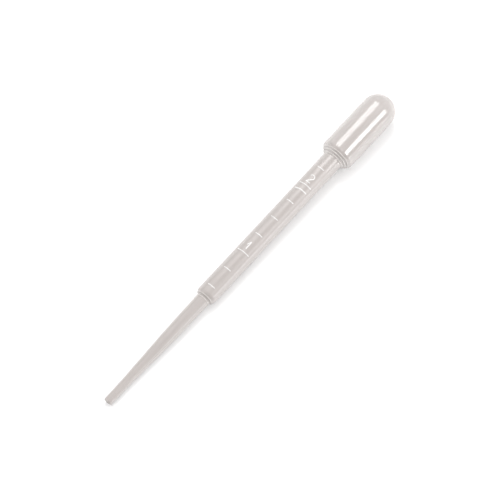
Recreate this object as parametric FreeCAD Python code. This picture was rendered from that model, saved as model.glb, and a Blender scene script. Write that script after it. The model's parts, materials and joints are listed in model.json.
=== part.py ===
import FreeCAD, Part
import math
import os

# Squeeze-bulb transfer pipette, blow-moulded in one piece. All sizes in millimetres.
# The shape is drawn about a straight axis along +X, with the tip's mouth at x = 0 and
# the bulb's end at x = LENGTH. It is then tilted and set down the way it rests on a bench:
# on the step of its stem and on the corner of its bulb's shoulder, marks upwards.

# ---- driving dimensions, along the axis ----
LENGTH = 155.0
TIP_END = 9.0
STEM_END = 50.0
BARREL_START = 53.5
NECK_START = 116.6
NECK_END = 122.2
SHOULDER_START = 122.5
PRESS_START = 127.1
PRESS_END = 147.0

# ---- outer radii and walls ----
MOUTH_R = 1.59
TIP_R = 1.65
STEM_KNEE_X = 35.0
STEM_KNEE_R = 2.47
STEM_R = 2.65
BARREL_R = 3.85
BULB_R = 6.5
BORE_R = 1.0
STEM_WALL = 0.64
BARREL_WALL = 0.8
BULB_WALL = 0.55
STEM_BEND_R = 600.0
STEP_FOOT_X = 50.95
STEP_FOOT_ROUND = 0.4
STEP_TOP_X = 52.2
STEP_TOP_ROUND = 2.2
STEP_BORE_SHIFT = 0.35
NECK_ROUND = 0.5
CORNER_ROUND = 1.1

# ---- raised marks: a quarter of a millilitre apart ----
FIRST_MARK_X = 55.5
MARK_PITCH = 8.63
MARK_COUNT = 8
LONG_MARKS = (2, 6)
LONG_ARC = 84.0
SHORT_ARC = 48.0
MARK_WIDTH = 0.42
MARK_HEIGHT = 0.16
MARK_ROUND = 0.09
SLANT_LINE_X = 104.75
SLANT_LINE_REACH = 2.5
SLANT_LINE_FALL = 0.35
SLANT_LINE_WIDTH = 0.55

# ---- numerals, read with the tip held down ----
NUMERAL_HEIGHT = 3.3
NUMERAL_WIDTH = 1.9
NUMERAL_STROKE = 0.42
NUMERAL_RELIEF = 0.16
NUMERAL_GAP = 1.4
FLAG_RUN = 0.75
FLAG_DROP = 1.7
BOWL_STEPS = 8
BOWL_FROM = 165.0
BOWL_TURN = 205.0

# ---- fine rings and the weld at the bulb's end ----
BEAD_R = 0.14
STEP_BEADS_X = (50.5, 51.6)
NECK_BEAD_COUNT = 3
NECK_BEAD_PITCH = 0.8
NECK_BEADS_FROM = 0.3
WELD_LENGTH = 5.6
WELD_WIDTH = 0.5
WELD_HEIGHT = 0.3

# ---- the two side walls that are pressed in ----
PRESS_HALF_HEIGHT = 3.7
PRESS_GAP = 0.05

X_AXIS = FreeCAD.Vector(1, 0, 0)
Y_AXIS = FreeCAD.Vector(0, 1, 0)
ORIGIN = FreeCAD.Vector(0, 0, 0)
BIG = 60.0

STEM_BORE_R = STEM_R - STEM_WALL
BARREL_BORE_R = BARREL_R - BARREL_WALL
BULB_BORE_R = BULB_R - BULB_WALL
# The shoulder is a cone at 45 degrees, so it is as long as it is high.
SHOULDER_END = SHOULDER_START + BULB_R - BARREL_R


def at(x, r):
    """The point at x along the axis and r above it."""
    return FreeCAD.Vector(x, 0, r)


def rounded_outline(corners):
    """A closed face from corners (x, r) or (x, r, radius), each radius rounding its corner."""
    count = len(corners)
    points = [at(c[0], c[1]) for c in corners]
    edges = []
    first = None
    last = None
    for k in range(count):
        here = points[k]
        radius = corners[k][2] if len(corners[k]) > 2 else 0.0
        if radius > 0:
            back = (points[k - 1] - here).normalize()
            ahead = (points[(k + 1) % count] - here).normalize()
            half = back.getAngle(ahead) / 2
            reach = radius / math.tan(half)
            enter = here + back * reach
            leave = here + ahead * reach
            centre = here + (back + ahead).normalize() * (radius / math.sin(half))
            middle = centre + (here - centre).normalize() * radius
        else:
            enter = leave = here
        if last is not None and last.distanceToPoint(enter) > 1e-6:
            edges.append(Part.LineSegment(last, enter).toShape())
        if radius > 0:
            edges.append(Part.Arc(enter, middle, leave).toShape())
        if first is None:
            first = enter
        last = leave
    if last.distanceToPoint(first) > 1e-6:
        edges.append(Part.LineSegment(last, first).toShape())
    return Part.Face(Part.Wire(edges))


def turned(corners, degrees=360.0):
    """A solid turned about the axis from an outline above it."""
    return rounded_outline(corners).revolve(ORIGIN, X_AXIS, degrees)


def solid_bulb(radius, start, end):
    """A rod of the bulb's diameter between two stations, to cut pieces from."""
    return Part.makeCylinder(radius, end - start, FreeCAD.Vector(start, 0, 0), X_AXIS)


def slab(x0, x1, y0, y1, z0, z1):
    """A block between two corners."""
    return Part.makeBox(x1 - x0, y1 - y0, z1 - z0, FreeCAD.Vector(x0, y0, z0))


# ---- the moulding, from the tip to the neck ----
def tip():
    return turned([
        (0, BORE_R), (0, MOUTH_R), (TIP_END, TIP_R), (TIP_END, BORE_R),
    ])


def lower_stem():
    return turned([
        (TIP_END, BORE_R), (TIP_END, TIP_R), (STEM_KNEE_X, STEM_KNEE_R, STEM_BEND_R),
        (STEM_END, STEM_R), (STEM_END, STEM_BORE_R),
        (STEM_KNEE_X, STEM_KNEE_R - STEM_WALL, STEM_BEND_R),
    ])


def stem_step_outer():
    """The step's outer line: a tight round at the stem, then a wide one onto the barrel."""
    return [
        (STEM_END, STEM_R), (STEP_FOOT_X, STEM_R, STEP_FOOT_ROUND),
        (STEP_TOP_X, BARREL_R, STEP_TOP_ROUND), (BARREL_START, BARREL_R),
    ]


def stem_step():
    # The bore's step lies a wall's thickness further along than the outer one.
    inner = [
        (BARREL_START, BARREL_BORE_R),
        (STEP_TOP_X + STEP_BORE_SHIFT, BARREL_BORE_R, STEP_TOP_ROUND - BARREL_WALL),
        (STEP_FOOT_X + STEP_BORE_SHIFT, STEM_BORE_R, STEP_FOOT_ROUND + STEM_WALL),
        (STEM_END, STEM_BORE_R),
    ]
    return turned(stem_step_outer() + inner)


def seated_bead(profile, core, x):
    """A fine ring round a turned core, centred on its outline at x."""
    height = profile.common(Part.makeLine(at(x, 0), at(x, BIG))).BoundBox.ZMax
    bead = Part.makeTorus(height, BEAD_R, FreeCAD.Vector(x, 0, 0), X_AXIS)
    return bead.cut(core).Solids[0]


def step_rings():
    """Two fine beads round the step, each seated on its slope."""
    filled = stem_step_outer() + [(BARREL_START, 0), (STEM_END, 0)]
    profile = rounded_outline(filled)
    core = turned(filled)
    return Part.makeCompound([seated_bead(profile, core, x) for x in STEP_BEADS_X])


def graduated_barrel():
    return turned([
        (BARREL_START, BARREL_BORE_R), (BARREL_START, BARREL_R),
        (NECK_START, BARREL_R), (NECK_START, BARREL_BORE_R),
    ])


def mark(x, arc):
    """One raised bar with rounded edges, wrapped over the top of the barrel."""
    low = x - MARK_WIDTH / 2
    high = x + MARK_WIDTH / 2
    top = BARREL_R + MARK_HEIGHT
    bar = turned([
        (low, BARREL_R), (low, top, MARK_ROUND), (high, top, MARK_ROUND), (high, BARREL_R),
    ], arc)
    bar.rotate(ORIGIN, X_AXIS, -arc / 2)
    return bar


def marks(long_ones):
    bars = []
    for k in range(MARK_COUNT):
        if (k in LONG_MARKS) == long_ones:
            arc = LONG_ARC if long_ones else SHORT_ARC
            bars.append(mark(FIRST_MARK_X + k * MARK_PITCH, arc))
    return Part.makeCompound(bars)


# ---- numerals and the slanting line: flat strokes wrapped on the barrel ----
def stroke(points, width=NUMERAL_STROKE):
    """A pen line of even width through points (right, up), standing up from the axis."""
    half = width / 2
    pieces = []
    for k, (right, up) in enumerate(points):
        here = FreeCAD.Vector(up, -right, 0)
        pieces.append(Part.makeCylinder(half, BIG, here))
        if k > 0:
            before = FreeCAD.Vector(points[k - 1][1], -points[k - 1][0], 0)
            run = here - before
            bar = Part.makeBox(run.Length, width, BIG, FreeCAD.Vector(0, -half, 0))
            bar.rotate(ORIGIN, FreeCAD.Vector(0, 0, 1), math.degrees(math.atan2(run.y, run.x)))
            bar.translate(before)
            pieces.append(bar)
    return pieces[0].multiFuse(pieces[1:]).removeSplitter()


def numeral_one():
    return stroke([(-FLAG_RUN, NUMERAL_HEIGHT - FLAG_DROP), (0, NUMERAL_HEIGHT), (0, 0)])


def numeral_two():
    bowl = NUMERAL_WIDTH / 2
    top = NUMERAL_HEIGHT - bowl
    points = []
    for k in range(BOWL_STEPS + 1):
        turn = math.radians(BOWL_FROM - k * BOWL_TURN / BOWL_STEPS)
        points.append((bowl * math.cos(turn), top + bowl * math.sin(turn)))
    return stroke(points + [(-bowl, 0), (bowl, 0)])


def wrapped(figure, x):
    """A flat figure moved along to x and cut to a thin raised layer on the barrel."""
    skin = Part.makeCylinder(BARREL_R + NUMERAL_RELIEF, LENGTH, ORIGIN, X_AXIS)
    skin = skin.cut(Part.makeCylinder(BARREL_R, LENGTH, ORIGIN, X_AXIS))
    figure.translate(FreeCAD.Vector(x, 0, 0))
    return figure.common(skin).Solids[0]


def numerals():
    """The figures 1 and 2, each just above its long mark."""
    figures = []
    for k, figure in zip(LONG_MARKS, (numeral_one(), numeral_two())):
        figures.append(wrapped(figure, FIRST_MARK_X + k * MARK_PITCH + NUMERAL_GAP))
    return Part.makeCompound(figures)


def slanting_line():
    """A wide line below the second long mark, dropping towards the tip on its left half."""
    points = [(-SLANT_LINE_REACH, -SLANT_LINE_FALL), (0, 0), (SLANT_LINE_REACH, 0)]
    return wrapped(stroke(points, SLANT_LINE_WIDTH), SLANT_LINE_X)


# ---- neck and bulb ----
def neck():
    return turned([
        (NECK_START, BARREL_BORE_R), (NECK_START, BARREL_R),
        (NECK_END, BARREL_R), (NECK_END, BARREL_BORE_R),
    ])


def shoulder_outer():
    """The cone's outer line, from the neck to where the pressed walls begin."""
    return [
        (NECK_END, BARREL_R), (SHOULDER_START, BARREL_R, NECK_ROUND),
        (SHOULDER_END, BULB_R, CORNER_ROUND), (PRESS_START, BULB_R),
    ]


def bulb_shoulder():
    # The bore's cone stays parallel to the outer one, a wall's thickness inside it.
    bore_start = SHOULDER_START + BULB_WALL
    bore_end = bore_start + BULB_BORE_R - BARREL_BORE_R
    inner = [
        (PRESS_START, BULB_BORE_R), (bore_end, BULB_BORE_R, CORNER_ROUND - BULB_WALL),
        (bore_start, BARREL_BORE_R, NECK_ROUND), (NECK_END, BARREL_BORE_R),
    ]
    return turned(shoulder_outer() + inner)


def neck_rings():
    """Fine beads on the cone where the neck opens into the bulb."""
    filled = shoulder_outer() + [(PRESS_START, 0), (NECK_END, 0)]
    profile = rounded_outline(filled)
    core = turned(filled)
    rings = []
    for k in range(NECK_BEAD_COUNT):
        x = SHOULDER_START + NECK_BEADS_FROM + k * NECK_BEAD_PITCH
        rings.append(seated_bead(profile, core, x))
    return Part.makeCompound(rings)


def press_band():
    """The plain length of bulb that holds the pressed walls."""
    band = solid_bulb(BULB_R, PRESS_START, PRESS_END)
    return band.cut(solid_bulb(BULB_BORE_R, PRESS_START, PRESS_END))


def fixed_wall(side):
    """The strip along the top (side 1) or the bottom (side -1) that stays put."""
    near = side * PRESS_HALF_HEIGHT
    far = side * BIG
    return press_band().common(slab(0, LENGTH, -BIG, BIG, min(near, far), max(near, far)))


def press_wall(side):
    """The side wall that is pressed in, side 1 at +Y, with a hairline gap all round."""
    tall = PRESS_HALF_HEIGHT - PRESS_GAP
    keep = slab(PRESS_START + PRESS_GAP, PRESS_END - PRESS_GAP,
                min(0, side * BIG), max(0, side * BIG), -tall, tall)
    return press_band().common(keep)


def bulb_dome():
    start = LENGTH - BULB_R
    return turned([
        (PRESS_END, BULB_BORE_R), (PRESS_END, BULB_R), (start, BULB_R),
        (LENGTH, BULB_R, BULB_R), (LENGTH, 0), (LENGTH - BULB_WALL, 0),
        (LENGTH - BULB_WALL, BULB_BORE_R, BULB_BORE_R), (start, BULB_BORE_R),
    ])


def bulb_end_weld():
    """The low ridge where the mould pinched the bulb's end shut, across the dome in Y."""
    centre = FreeCAD.Vector(LENGTH - BULB_R, 0, 0)
    half = WELD_WIDTH / 2
    skin = Part.makeSphere(BULB_R + WELD_HEIGHT, centre).cut(Part.makeSphere(BULB_R, centre))
    bar = slab(LENGTH - BULB_R, LENGTH + BIG, -WELD_LENGTH / 2, WELD_LENGTH / 2, -half, half)
    return skin.common(bar)


def resting(shape):
    """Tilts the pipette onto its two points of rest and centres it above the origin."""
    # The bench touches the wide round of the stem's step and the round of the bulb's shoulder.
    step_turn = math.atan2(BARREL_R - STEM_R, STEP_TOP_X - STEP_FOOT_X)
    step_x = STEP_TOP_X + STEP_TOP_ROUND * math.tan(step_turn / 2)
    step_drop = BARREL_R - STEP_TOP_ROUND
    shoulder_x = SHOULDER_END + CORNER_ROUND * math.tan(math.pi / 8)
    shoulder_drop = BULB_R - CORNER_ROUND
    apart = math.hypot(shoulder_x - step_x, shoulder_drop - step_drop)
    slope = math.atan2(shoulder_drop - step_drop, shoulder_x - step_x)
    slope += math.asin((CORNER_ROUND - STEP_TOP_ROUND) / apart)
    bench = step_x * math.sin(slope) - step_drop * math.cos(slope) - STEP_TOP_ROUND
    shape.rotate(ORIGIN, Y_AXIS, -math.degrees(slope))
    back_x = -MOUTH_R * math.sin(slope)
    front_x = (LENGTH - BULB_R) * math.cos(slope) + BULB_R + WELD_HEIGHT
    shape.translate(FreeCAD.Vector(-(back_x + front_x) / 2, 0, -bench))
    return shape


NODES = {
    "tip": tip(),
    "lower_stem": lower_stem(),
    "stem_step": stem_step(),
    "step_rings": step_rings(),
    "graduated_barrel": graduated_barrel(),
    "short_graduation_marks": marks(False),
    "long_graduation_marks": marks(True),
    "numerals": numerals(),
    "slanting_line": slanting_line(),
    "neck": neck(),
    "bulb_shoulder": bulb_shoulder(),
    "neck_rings": neck_rings(),
    "bulb_top_wall": fixed_wall(1),
    "bulb_bottom_wall": fixed_wall(-1),
    "left_press_wall": press_wall(1),
    "right_press_wall": press_wall(-1),
    "bulb_dome": bulb_dome(),
    "bulb_end_weld": bulb_end_weld(),
}

os.makedirs("parts", exist_ok=True)
for name, shape in NODES.items():
    resting(shape).exportStep("parts/" + name + ".step")
    print(name, len(shape.Solids), "solids", round(shape.Volume, 2), "mm3", shape.isValid())
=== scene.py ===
import json
import math

import bmesh
import bpy
from mathutils import Matrix, Vector


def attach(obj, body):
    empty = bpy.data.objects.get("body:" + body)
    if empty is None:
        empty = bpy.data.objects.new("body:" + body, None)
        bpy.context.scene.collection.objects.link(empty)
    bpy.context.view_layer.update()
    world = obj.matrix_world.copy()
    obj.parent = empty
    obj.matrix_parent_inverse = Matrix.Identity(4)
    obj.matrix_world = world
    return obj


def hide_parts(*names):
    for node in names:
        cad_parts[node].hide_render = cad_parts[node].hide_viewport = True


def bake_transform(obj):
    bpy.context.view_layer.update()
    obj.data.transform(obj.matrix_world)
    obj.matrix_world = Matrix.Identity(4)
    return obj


# A translucent polyethylene transfer pipette with a squeeze bulb, lying on a pale floor.
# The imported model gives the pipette's axis. Sizes along it are in millimetres from the mouth.

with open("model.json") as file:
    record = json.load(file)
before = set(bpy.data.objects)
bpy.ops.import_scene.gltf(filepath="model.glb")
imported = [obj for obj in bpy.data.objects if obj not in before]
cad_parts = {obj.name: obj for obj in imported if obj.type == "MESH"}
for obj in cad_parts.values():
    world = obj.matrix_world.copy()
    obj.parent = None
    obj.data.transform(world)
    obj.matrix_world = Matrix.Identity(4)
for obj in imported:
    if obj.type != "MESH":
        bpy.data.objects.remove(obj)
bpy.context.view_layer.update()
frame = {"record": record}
MM = 0.001

# ---- the moulding's outline: stations along the axis, radii and walls ----
LENGTH = 155.0
TIP_END = 9.0
STEM_KNEE_X = 35.0
STEM_END = 50.0
BARREL_START = 53.5
NECK_START = 116.6
NECK_END = 122.2
SHOULDER_START = 122.5
MOUTH_R = 1.59
TIP_R = 1.65
STEM_KNEE_R = 2.47
STEM_R = 2.65
BARREL_R = 3.85
BULB_R = 6.5
BORE_R = 1.0
STEM_WALL = 0.64
BARREL_WALL = 0.8
BULB_WALL = 0.55
BARREL_BORE_R = BARREL_R - BARREL_WALL
BULB_BORE_R = BULB_R - BULB_WALL
STEM_BORE_R = STEM_R - STEM_WALL
SHOULDER_END = SHOULDER_START + BULB_R - BARREL_R
DOME_START = LENGTH - BULB_R

# ---- rounds ----
MOUTH_ROUND = 0.16
STEM_BEND_R = 600.0
STEP_FOOT_X = 50.95
STEP_TOP_X = 52.2
STEP_FOOT_ROUND = 0.4
STEP_TOP_ROUND = 2.2
STEP_BORE_SHIFT = 0.35
NECK_ROUND = 0.5
CORNER_ROUND = 1.1

# ---- fine rings: their half width, their height, and how far from them the line is cleared ----
BEAD_R = 0.14
BEAD_HEIGHT = 0.09
BEAD_CLEAR = 1.2 * BEAD_R
STEP_BEADS_X = (50.5, 51.6)
NECK_BEADS_X = (122.8, 123.6, 124.4)

# ---- raised graduations and numerals ----
FIRST_MARK_X = 55.5
MARK_PITCH = 8.63
MARK_COUNT = 8
LONG_MARKS = (2, 6)
LONG_ARC = math.radians(84.0)
SHORT_ARC = math.radians(48.0)
MARK_WIDTH = 0.42
MARK_HEIGHT = 0.16
NUMERAL_HEIGHT = 3.3
NUMERAL_WIDTH = 1.9
NUMERAL_STROKE = 0.42
NUMERAL_RELIEF = 0.16
NUMERAL_GAP = 1.4
FLAG_RUN = 0.75
FLAG_DROP = 1.7
BOWL_FROM = math.radians(165.0)
BOWL_TURN = math.radians(205.0)
SLANT_LINE_X = 104.75
SLANT_LINE_REACH = 2.75
SLANT_LINE_FALL = 0.35
SLANT_LINE_WIDTH = 0.55
WELD_LENGTH = 5.6
WELD_WIDTH = 0.5
WELD_HEIGHT = 0.26
WELD_SINK = 0.05

# ---- raised lines: how deep their feet sit, how round their tops and how blunt their ends are ----
RIDGE_SINK = 0.04
RIDGE_ROUNDNESS = 0.7
RIDGE_BLUNTNESS = 0.02

# ---- how finely meshes are divided: steps for each curve, and the longest straight run in mm ----
ROUND_STEPS = 8
DOME_STEPS = 32
BOWL_STEPS = 16
WELD_STEPS = 60
AROUND = 128
LINE_STEP = 0.8
RIDGE_STEP = 0.07
# Points of one mesh that are closer than this, in metres, become one.
MERGE_DISTANCE = 0.0001 * MM

# ---- each wall's material positions: its outside, its bore and the rings on it, whose lighter plastic is a painted glint ----
OUTER_MATERIAL = 0
INNER_MATERIAL = 1
BEAD_GLINT_MATERIAL = 2

# ---- the pipette's own axis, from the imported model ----
MOUNTS = {m["name"]: m for m in frame["record"]["mounts"]}
TIP_BORE = MOUNTS["tip_bore"]
AXIS = -Vector(TIP_BORE["axis"]).normalized()
ACROSS = Vector((0, 1, 0))
ABOVE = AXIS.cross(ACROSS)
MOUTH = Vector(TIP_BORE["pos_m"]) - AXIS * (TIP_BORE["dims"]["length_mm"] / 2 * MM)


def place(x, radius, turn):
    """A point x along the axis, at a radius, turned from the top towards +Y."""
    out = ABOVE * math.cos(turn) + ACROSS * math.sin(turn)
    return MOUTH + AXIS * (x * MM) + out * (radius * MM)


# ---- outlines ----
def rounded(corners):
    """Points along a line of corners (x, r) or (x, r, radius), with each radius as an arc."""
    points = []
    for k, corner in enumerate(corners):
        here = Vector(corner[:2])
        radius = corner[2] if len(corner) > 2 else 0.0
        if radius == 0:
            points.append(here)
            continue
        back = (Vector(corners[k - 1][:2]) - here).normalized()
        ahead = (Vector(corners[k + 1][:2]) - here).normalized()
        half = back.angle(ahead) / 2
        centre = here + (back + ahead).normalized() * (radius / math.sin(half))
        enter = here + back * (radius / math.tan(half)) - centre
        leave = here + ahead * (radius / math.tan(half)) - centre
        turn = math.atan2(enter.x * leave.y - enter.y * leave.x, enter.dot(leave))
        for step in range(ROUND_STEPS + 1):
            a = turn * step / ROUND_STEPS
            spun = Vector((enter.x * math.cos(a) - enter.y * math.sin(a),
                           enter.x * math.sin(a) + enter.y * math.cos(a)))
            points.append(centre + spun)
    return points


def divided(points, step=LINE_STEP):
    """The same line with no run longer than step, so that shading has points to use."""
    line = [Vector(points[0])]
    for a, b in zip(points, points[1:]):
        a, b = Vector(a), Vector(b)
        parts = max(1, math.ceil((b - a).length / step))
        line += [a.lerp(b, k / parts) for k in range(1, parts + 1)]
    return line


def beaded(points, stations):
    """The line with a small round bead standing on it at each station along x."""
    line = list(points)
    for x in stations:
        k = next(i for i in range(len(line) - 1) if line[i].x <= x < line[i + 1].x)
        run = line[k + 1] - line[k]
        middle = line[k] + run * ((x - line[k].x) / run.x)
        along = run.normalized()
        up = Vector((-along.y, along.x))
        bump = []
        for step in range(ROUND_STEPS + 1):
            a = math.pi * step / ROUND_STEPS
            bump.append(middle - along * (BEAD_R * math.cos(a)) + up * (BEAD_HEIGHT * math.sin(a)))
        before = [p for p in line if (p - middle).dot(along) < -BEAD_CLEAR and p.x < x]
        after = [p for p in line if (p - middle).dot(along) > BEAD_CLEAR and p.x > x]
        line = before + bump + after
    return line


STEM_OUTER = rounded([(TIP_END, TIP_R), (STEM_KNEE_X, STEM_KNEE_R, STEM_BEND_R), (STEM_END, STEM_R)])
STEM_INNER = rounded([(TIP_END, BORE_R), (STEM_KNEE_X, STEM_KNEE_R - STEM_WALL, STEM_BEND_R),
                      (STEM_END, STEM_BORE_R)])
STEP_OUTER = rounded([(STEM_END, STEM_R), (STEP_FOOT_X, STEM_R, STEP_FOOT_ROUND),
                      (STEP_TOP_X, BARREL_R, STEP_TOP_ROUND), (BARREL_START, BARREL_R)])
STEP_INNER = rounded([(STEM_END, STEM_BORE_R),
                      (STEP_FOOT_X + STEP_BORE_SHIFT, STEM_BORE_R, STEP_FOOT_ROUND + STEM_WALL),
                      (STEP_TOP_X + STEP_BORE_SHIFT, BARREL_BORE_R, STEP_TOP_ROUND - BARREL_WALL),
                      (BARREL_START, BARREL_BORE_R)])
BARREL_OUTER = rounded([(BARREL_START, BARREL_R), (NECK_START, BARREL_R)])
BARREL_INNER = rounded([(BARREL_START, BARREL_BORE_R), (NECK_START, BARREL_BORE_R)])
NECK_OUTER = rounded([(NECK_START, BARREL_R), (NECK_END, BARREL_R)])
NECK_INNER = rounded([(NECK_START, BARREL_BORE_R), (NECK_END, BARREL_BORE_R)])
BULB_OUTER = rounded([(NECK_END, BARREL_R), (SHOULDER_START, BARREL_R, NECK_ROUND),
                      (SHOULDER_END, BULB_R, CORNER_ROUND), (DOME_START, BULB_R)])
BULB_INNER = rounded([(NECK_END, BARREL_BORE_R),
                      (SHOULDER_START + BULB_WALL, BARREL_BORE_R, NECK_ROUND),
                      (SHOULDER_END + BARREL_WALL, BULB_BORE_R, CORNER_ROUND - BULB_WALL),
                      (DOME_START, BULB_BORE_R)])


def dome(radius):
    """The rest of the quarter circle that closes the bulb, down to the axis."""
    turns = [math.pi / 2 * k / DOME_STEPS for k in range(1, DOME_STEPS + 1)]
    return [Vector((DOME_START + radius * math.sin(a), radius * math.cos(a))) for a in turns]


# ---- mesh building ----
def new_piece(name, mesh_data, slot_name, *materials):
    """Makes an object from a bmesh and gives it its materials; slot_name is not used."""
    mesh = bpy.data.meshes.new(name)
    mesh_data.to_mesh(mesh)
    mesh_data.free()
    mesh.shade_smooth()
    for material in materials:
        mesh.materials.append(material)
    piece = bpy.data.objects.new(name, mesh)
    bpy.context.scene.collection.objects.link(piece)
    return piece


def sweep(bm, line, inwards, first=0.0, last=2 * math.pi, material=OUTER_MATERIAL, beads=()):
    """Turns one line about the axis, between two turns.

    A line that runs away from the mouth makes a surface that faces out, or the axis if inwards.
    """
    whole = math.isclose(last - first, 2 * math.pi)
    count = round(AROUND * (last - first) / (2 * math.pi))
    columns = count if whole else count + 1
    rings = []
    for p in line:
        turns = [first + (last - first) * k / count for k in range(columns)]
        rings.append([bm.verts.new(place(p.x, p.y, t)) for t in turns])
    for p, q, a, b in zip(line, line[1:], rings, rings[1:]):
        on_bead = any(abs((p.x + q.x) / 2 - x) < BEAD_R for x in beads)
        for k in range(count):
            j = (k + 1) % columns
            corners = [a[k], b[k], b[j], a[j]]
            face = bm.faces.new(corners if inwards else corners[::-1])
            face.material_index = BEAD_GLINT_MATERIAL if on_bead else material


def skin(name, outer, inner, slot_name, material, beads):
    """A tube wall made of its outer and its inner surface. Its ends meet the next piece's."""
    bm = bmesh.new()
    sweep(bm, beaded(divided(outer), beads), False, beads=beads)
    sweep(bm, divided(inner), True, material=INNER_MATERIAL)
    return new_piece(name, bm, slot_name, material, LINING, GLINT_RINGS)


def ridge(bm, path, width, height, sink):
    """A low bar with a rounded top and rounded ends along path, a list of (point, out).

    It stands height above the path and reaches sink below it.
    """
    lengths = [0.0]
    for (a, _), (b, _) in zip(path, path[1:]):
        lengths.append(lengths[-1] + (b - a).length)
    half = width * MM / 2
    turns = [math.pi * k / ROUND_STEPS for k in range(ROUND_STEPS + 1)]
    section = [(math.cos(a), math.sin(a) ** RIDGE_ROUNDNESS) for a in turns]
    rings = []
    for k, (point, out) in enumerate(path):
        ahead = path[min(k + 1, len(path) - 1)][0] - path[max(k - 1, 0)][0]
        side = out.cross(ahead).normalized()
        end = min(lengths[k], lengths[-1] - lengths[k])
        swell = math.sqrt(max(RIDGE_BLUNTNESS, 1 - max(0.0, 1 - end / half) ** 2))
        ring = [point + side * (half * swell * c) + out * (height * MM * swell * s)
                for c, s in section]
        ring += [point - side * (half * swell) - out * (sink * MM),
                 point + side * (half * swell) - out * (sink * MM)]
        rings.append([bm.verts.new(p) for p in ring])
    around = len(rings[0])
    for a, b in zip(rings, rings[1:]):
        for k in range(around):
            j = (k + 1) % around
            bm.faces.new([a[k], a[j], b[j], b[k]])
    bm.faces.new(rings[0][::-1])
    bm.faces.new(rings[-1])


def on_barrel(x, right):
    """(point, out) on the barrel: x along it, right to the reader's right with the tip down."""
    turn = -right / BARREL_R
    point = place(x, BARREL_R, turn)
    return point, (point - place(x, 0, 0)).normalized()


def barrel_path(points):
    """The path for a ridge that follows a line of (x, right) points over the barrel."""
    return [on_barrel(p.x, p.y) for p in divided(points, RIDGE_STEP)]


# ---- materials ----
# A colour Mix node's sockets go by position, because several of them share a name.
MIX_FACTOR = 0
MIX_FIRST = 6
MIX_SECOND = 7
MIX_RESULT = 2

# How much height the plastic's slow waves and its grain have at full strength, in metres.
WAVE_DEPTH = 0.4 * MM
GRAIN_DEPTH = 0.05 * MM


def node(tree, kind, **inputs):
    """A shader node with the named inputs set."""
    made = tree.nodes.new(kind)
    for name, value in inputs.items():
        made.inputs[name.replace("_", " ")].default_value = value
    return made


def noise(tree, stretch, scale, detail):
    """Noise in the model's own space, drawn out along X by making it slower there."""
    where = tree.nodes.new("ShaderNodeTexCoord")
    shape = tree.nodes.new("ShaderNodeMapping")
    shape.inputs["Scale"].default_value = (stretch, 1.0, 1.0)
    tree.links.new(where.outputs["Object"], shape.inputs["Vector"])
    made = node(tree, "ShaderNodeTexNoise", Scale=scale, Detail=detail, Roughness=0.55)
    tree.links.new(shape.outputs["Vector"], made.inputs["Vector"])
    return made.outputs["Fac"]


def spread(tree, source, low, high):
    """Maps the middle of a 0 to 1 noise to a range."""
    made = node(tree, "ShaderNodeMapRange", From_Min=0.3, From_Max=0.7, To_Min=low, To_Max=high)
    tree.links.new(source, made.inputs["Value"])
    return made.outputs["Result"]


def mixed(tree, factor, first, second):
    """A colour between first and second."""
    made = tree.nodes.new("ShaderNodeMix")
    made.data_type = "RGBA"
    made.inputs[MIX_FIRST].default_value = (*first, 1)
    made.inputs[MIX_SECOND].default_value = (*second, 1)
    tree.links.new(factor, made.inputs[MIX_FACTOR])
    return made.outputs[MIX_RESULT]


def plastic(name, clear, milk, roughness, see_through, grain, wave, alpha=1.0):
    """Translucent polyethylene, with faint flow streaks, slow waves and a fine grain, all noise.

    Its colour lies between clear and milk, its roughness within a (low, high) pair.
    """
    material = bpy.data.materials.new(name)
    material.use_nodes = True
    tree = material.node_tree
    shader = tree.nodes["Principled BSDF"]
    shader.inputs["IOR"].default_value = 1.51
    shader.inputs["Transmission Weight"].default_value = see_through
    shader.inputs["Alpha"].default_value = alpha

    streaks = noise(tree, stretch=0.08, scale=900.0, detail=3.0)
    colour = mixed(tree, spread(tree, streaks, 0.0, 1.0), clear, milk)
    tree.links.new(colour, shader.inputs["Base Color"])

    satin = noise(tree, stretch=1.0, scale=2600.0, detail=2.0)
    tree.links.new(spread(tree, satin, *roughness), shader.inputs["Roughness"])

    slow = noise(tree, stretch=0.35, scale=160.0, detail=1.0)
    waves = node(tree, "ShaderNodeBump", Strength=wave, Distance=WAVE_DEPTH)
    tree.links.new(slow, waves.inputs["Height"])
    texture = node(tree, "ShaderNodeBump", Strength=grain, Distance=GRAIN_DEPTH)
    tree.links.new(satin, texture.inputs["Height"])
    tree.links.new(waves.outputs["Normal"], texture.inputs["Normal"])
    tree.links.new(texture.outputs["Normal"], shader.inputs["Normal"])
    return material


FROSTED = plastic("frosted_polyethylene", (0.420, 0.383, 0.367), (0.454, 0.415, 0.398),
                  (0.28, 0.36), see_through=0.11, grain=0.25, wave=0.05, alpha=0.93)
NECK = plastic("neck_polyethylene", (0.441, 0.404, 0.387), (0.475, 0.436, 0.418),
               (0.22, 0.30), see_through=0.11, grain=0.06, wave=0.06, alpha=0.88)
GLOSSY = plastic("glossy_polyethylene", (0.50, 0.462, 0.445), (0.54, 0.500, 0.482),
                 (0.06, 0.12), see_through=0.12, grain=0.04, wave=0.06, alpha=0.75)
LINING = plastic("bore_polyethylene", (0.86, 0.82, 0.80), (0.92, 0.89, 0.87),
                 (0.12, 0.20), see_through=0.95, grain=0.02, wave=0.05, alpha=0.55)
# The tip's bore gets an opaque, light lining. This is painted light that stands in for light coming
# in through the thin wall, so the hollow mouth does not look dark.
MOUTH_LIT_LINING = plastic("mouth_polyethylene_painted_light", (0.80, 0.77, 0.75), (0.86, 0.83, 0.81),
                       (0.16, 0.24), see_through=0.0, grain=0.05, wave=0.0)
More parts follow.
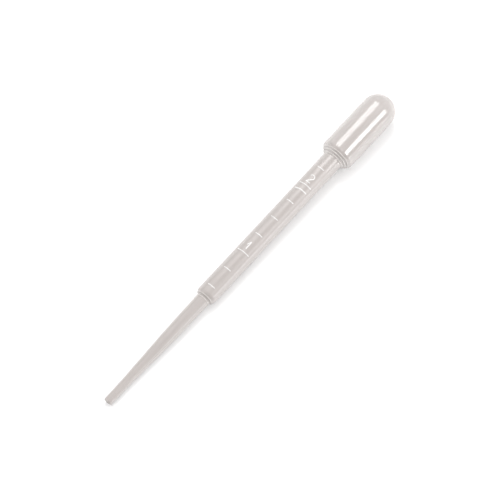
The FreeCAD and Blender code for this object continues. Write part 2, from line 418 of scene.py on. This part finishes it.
# The marks, figures and slanting line are whiter than the barrel. This is a painted glint that
# stands in for the highlights their raised edges catch.
GLINT_MARKS = plastic("moulded_marks", (0.66, 0.65, 0.64), (0.74, 0.73, 0.72),
                (0.08, 0.16), see_through=0.05, grain=1.0, wave=0.3)
# The rings' plastic is lighter than the walls they stand on. This is a painted glint, and painted
# light that covers the shade in the creases beside them.
GLINT_RINGS = plastic("ring_polyethylene_painted_glint", (0.54, 0.51, 0.49), (0.60, 0.57, 0.55),
                (0.06, 0.12), see_through=0.05, grain=0.04, wave=0.0)


# ---- the pieces ----
def add_tip():
    """The mouth's rounded rim and the short tube behind it, open where the stem goes on."""
    outer = rounded([(MOUTH_ROUND, MOUTH_R), (TIP_END, TIP_R)])
    rim = rounded([(MOUTH_ROUND, BORE_R), (0.0, BORE_R, MOUTH_ROUND), (0.0, MOUTH_R, MOUTH_ROUND),
                   (MOUTH_ROUND, MOUTH_R)])
    inner = rounded([(TIP_END, BORE_R), (MOUTH_ROUND, BORE_R)])
    bm = bmesh.new()
    sweep(bm, divided(inner), False, material=INNER_MATERIAL)
    sweep(bm, rim + divided(outer)[1:], False)
    bmesh.ops.remove_doubles(bm, verts=bm.verts, dist=MERGE_DISTANCE)
    # The bore inside the tip has the light mouth lining, painted light in place of the light through
    # the wall.
    piece = new_piece("tip_skin", bm, "frosted_polyethylene", FROSTED, MOUTH_LIT_LINING)
    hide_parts("tip")
    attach(piece, "pipette")


def add_tubes():
    """The stem, its step, the barrel and the neck."""
    tubes = [
        ("stem_skin", STEM_OUTER, STEM_INNER, "frosted_polyethylene", FROSTED, (), ["lower_stem"]),
        ("step_skin", STEP_OUTER, STEP_INNER, "frosted_polyethylene", FROSTED, STEP_BEADS_X,
         ["stem_step", "step_rings"]),
        ("barrel_skin", BARREL_OUTER, BARREL_INNER, "frosted_polyethylene", FROSTED, (),
         ["graduated_barrel"]),
        ("neck_skin", NECK_OUTER, NECK_INNER, "glossy_polyethylene", NECK, (), ["neck"]),
    ]
    for name, outer, inner, slot_name, material, beads, nodes in tubes:
        piece = skin(name, outer, inner, slot_name, material, beads)
        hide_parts(*nodes)
        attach(piece, "pipette")


def add_bulb():
    """Left and right halves, each an outer and an inner surface."""
    outer = beaded(divided(BULB_OUTER), NECK_BEADS_X) + dome(BULB_R)
    inner = divided(BULB_INNER) + dome(BULB_BORE_R)
    layers = [("outer", outer, NECK_BEADS_X, BULB_R), ("inner", inner, (), BULB_BORE_R)]
    fixed = ["bulb_shoulder", "neck_rings", "bulb_top_wall", "bulb_bottom_wall", "bulb_dome"]
    for side, sign in (("left", 1), ("right", -1)):
        turns = (0.0, math.pi) if sign > 0 else (math.pi, 2 * math.pi)
        for layer, line, beads, radius in layers:
            inwards = layer == "inner"
            bm = bmesh.new()
            sweep(bm, line, inwards, *turns, INNER_MATERIAL if inwards else OUTER_MATERIAL, beads)
            bmesh.ops.remove_doubles(bm, verts=bm.verts, dist=MERGE_DISTANCE)
            piece = new_piece(f"bulb_{side}_{layer}", bm, "glossy_polyethylene",
                              GLOSSY, LINING, GLINT_RINGS)
            if layer == "outer":
                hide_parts(f"{side}_press_wall")
                if side == "left":
                    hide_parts(*fixed)
            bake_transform(piece)


def add_marks():
    """The raised graduations, short and long ones as separate pieces."""
    for name, long_ones in (("short_graduation_marks", False), ("long_graduation_marks", True)):
        bm = bmesh.new()
        arc = LONG_ARC if long_ones else SHORT_ARC
        reach = arc * BARREL_R / 2
        for k in range(MARK_COUNT):
            if (k in LONG_MARKS) == long_ones:
                x = FIRST_MARK_X + k * MARK_PITCH
                path = barrel_path([(x, -reach), (x, reach)])
                ridge(bm, path, MARK_WIDTH, MARK_HEIGHT, RIDGE_SINK)
        piece = new_piece("raised_" + name, bm, "moulded_marks", GLINT_MARKS)
        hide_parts(name)
        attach(piece, "pipette")


def numeral_lines():
    """The pen lines of 1 and 2 as (up, right) points, from the foot of the figure."""
    one = [(NUMERAL_HEIGHT - FLAG_DROP, -FLAG_RUN), (NUMERAL_HEIGHT, 0), (0, 0)]
    bowl = NUMERAL_WIDTH / 2
    turns = [BOWL_FROM - BOWL_TURN * k / BOWL_STEPS for k in range(BOWL_STEPS + 1)]
    two = [(NUMERAL_HEIGHT - bowl + bowl * math.sin(a), bowl * math.cos(a)) for a in turns]
    return one, two + [(0, -bowl), (0, bowl)]


def add_numerals():
    """The figures 1 and 2, each standing on its long mark."""
    bm = bmesh.new()
    for k, line in zip(LONG_MARKS, numeral_lines()):
        foot = FIRST_MARK_X + k * MARK_PITCH + NUMERAL_GAP
        path = [on_barrel(foot + p.x, p.y) for p in divided(line, RIDGE_STEP)]
        ridge(bm, path, NUMERAL_STROKE, NUMERAL_RELIEF, RIDGE_SINK)
    piece = new_piece("raised_numerals", bm, "moulded_marks", GLINT_MARKS)
    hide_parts("numerals")
    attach(piece, "pipette")


def add_slanting_line():
    """The wide line below the second long mark, its left half dropping towards the tip."""
    line = [(SLANT_LINE_X - SLANT_LINE_FALL, -SLANT_LINE_REACH), (SLANT_LINE_X, 0),
            (SLANT_LINE_X, SLANT_LINE_REACH)]
    bm = bmesh.new()
    ridge(bm, barrel_path(line), SLANT_LINE_WIDTH, NUMERAL_RELIEF, RIDGE_SINK)
    piece = new_piece("raised_slanting_line", bm, "moulded_marks", GLINT_MARKS)
    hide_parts("slanting_line")
    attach(piece, "pipette")


def add_weld():
    """The pinched-off seam across the end of the bulb."""
    centre = place(DOME_START, 0, 0)
    reach = WELD_LENGTH / 2 / BULB_R
    path = []
    for k in range(WELD_STEPS + 1):
        a = reach * (2 * k / WELD_STEPS - 1)
        out = AXIS * math.cos(a) + ACROSS * math.sin(a)
        path.append((centre + out * (BULB_R * MM), out))
    bm = bmesh.new()
    ridge(bm, path, WELD_WIDTH, WELD_HEIGHT, WELD_SINK)
    piece = new_piece("bulb_weld", bm, "glossy_polyethylene", GLOSSY)
    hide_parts("bulb_end_weld")
    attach(piece, "pipette")


add_tip()
add_tubes()
add_bulb()
add_marks()
add_numerals()
add_slanting_line()
add_weld()


# ---- camera, lamps and floor: distances in metres, the lens in millimetres ----
# The camera faces a heading turned from +Y towards +X. Its elevation is an angle over the floor.
CAMERA_HEADING = math.radians(49.48)
CAMERA_ELEVATION = math.radians(64.0)
CAMERA_DISTANCE = 0.890
CAMERA_LENS = 178.0
AIM = Vector((0.19, 1.18, 0)) * MM
FLOOR_REACH = 3.0
SKY_STRENGTH = 0.88

RIGHT = Vector((math.cos(CAMERA_HEADING), -math.sin(CAMERA_HEADING), 0))
AWAY = Vector((math.sin(CAMERA_HEADING), math.cos(CAMERA_HEADING), 0))
UP = Vector((0, 0, 1))


def add_camera():
    """Looks steeply down at the pipette from the tip's side, far off through a long lens."""
    view = AWAY * math.cos(CAMERA_ELEVATION) - UP * math.sin(CAMERA_ELEVATION)
    camera = bpy.data.objects.new("camera", bpy.data.cameras.new("camera"))
    bpy.context.scene.collection.objects.link(camera)
    camera.location = AIM - view * CAMERA_DISTANCE
    camera.rotation_euler = view.to_track_quat("-Z", "Y").to_euler()
    camera.data.lens = CAMERA_LENS
    camera.data.sensor_width = 36.0
    camera.data.clip_start = 0.01
    bpy.context.scene.camera = camera


def add_softbox(name, towards, distance, width, length, power):
    """A rectangular lamp that faces the pipette, its length laid along the pipette.

    towards is the way from the pipette to the lamp as (right, away, up), seen from the camera.
    """
    right, away, up = towards
    direction = (RIGHT * right + AWAY * away + UP * up).normalized()
    light = bpy.data.lights.new(name, "AREA")
    light.shape = "RECTANGLE"
    light.size = length
    light.size_y = width
    light.energy = power
    lamp = bpy.data.objects.new(name, light)
    bpy.context.scene.collection.objects.link(lamp)
    # The lamp shines along its -Z; its X side is laid along the pipette.
    along = (AXIS - direction * AXIS.dot(direction)).normalized()
    side = direction.cross(along)
    turn = Matrix((along, side, direction)).transposed().to_4x4()
    lamp.matrix_world = Matrix.Translation(direction * distance) @ turn


def add_floor():
    """A wide sheet of matt white paper."""
    bm = bmesh.new()
    bmesh.ops.create_grid(bm, x_segments=8, y_segments=8, size=FLOOR_REACH)
    mesh = bpy.data.meshes.new("floor")
    bm.to_mesh(mesh)
    bm.free()
    floor = bpy.data.objects.new("floor", mesh)
    bpy.context.scene.collection.objects.link(floor)
    material = bpy.data.materials.new("floor_paper")
    material.use_nodes = True
    tree = material.node_tree
    shader = tree.nodes["Principled BSDF"]
    shader.inputs["Specular IOR Level"].default_value = 0.1
    shader.inputs["Roughness"].default_value = 0.8
    paper = noise(tree, stretch=1.0, scale=40.0, detail=2.0)
    colour = mixed(tree, paper, (0.90, 0.90, 0.90), (0.92, 0.92, 0.92))
    tree.links.new(colour, shader.inputs["Base Color"])
    mesh.materials.append(material)


def add_surroundings():
    """An even white sky, and colours shown as they are."""
    world = bpy.data.worlds.new("studio")
    bpy.context.scene.world = world
    world.use_nodes = True
    background = world.node_tree.nodes["Background"]
    background.inputs["Color"].default_value = (1.0, 1.0, 1.0, 1)
    background.inputs["Strength"].default_value = SKY_STRENGTH
    bpy.context.scene.view_settings.view_transform = "Standard"


add_camera()
add_softbox("key_softbox", (-0.04, 0.54, 0.86), distance=1.0, width=0.54, length=0.18, power=3.0)
add_softbox("side_softbox", (0.83, -0.195, 0.605), distance=1.0, width=0.42, length=0.12, power=2.7)
add_softbox("rim_softbox", (0.905, -0.42, 0.045), distance=1.3, width=0.07, length=0.24, power=2.1)
add_softbox("window_softbox", (-0.50, 0.25, 0.83), distance=1.2, width=0.8, length=0.8, power=1.5)
add_softbox("top_softbox", (0.0, 0.0, 1.0), distance=1.2, width=1.2, length=1.2, power=3.0)
add_floor()
add_surroundings()
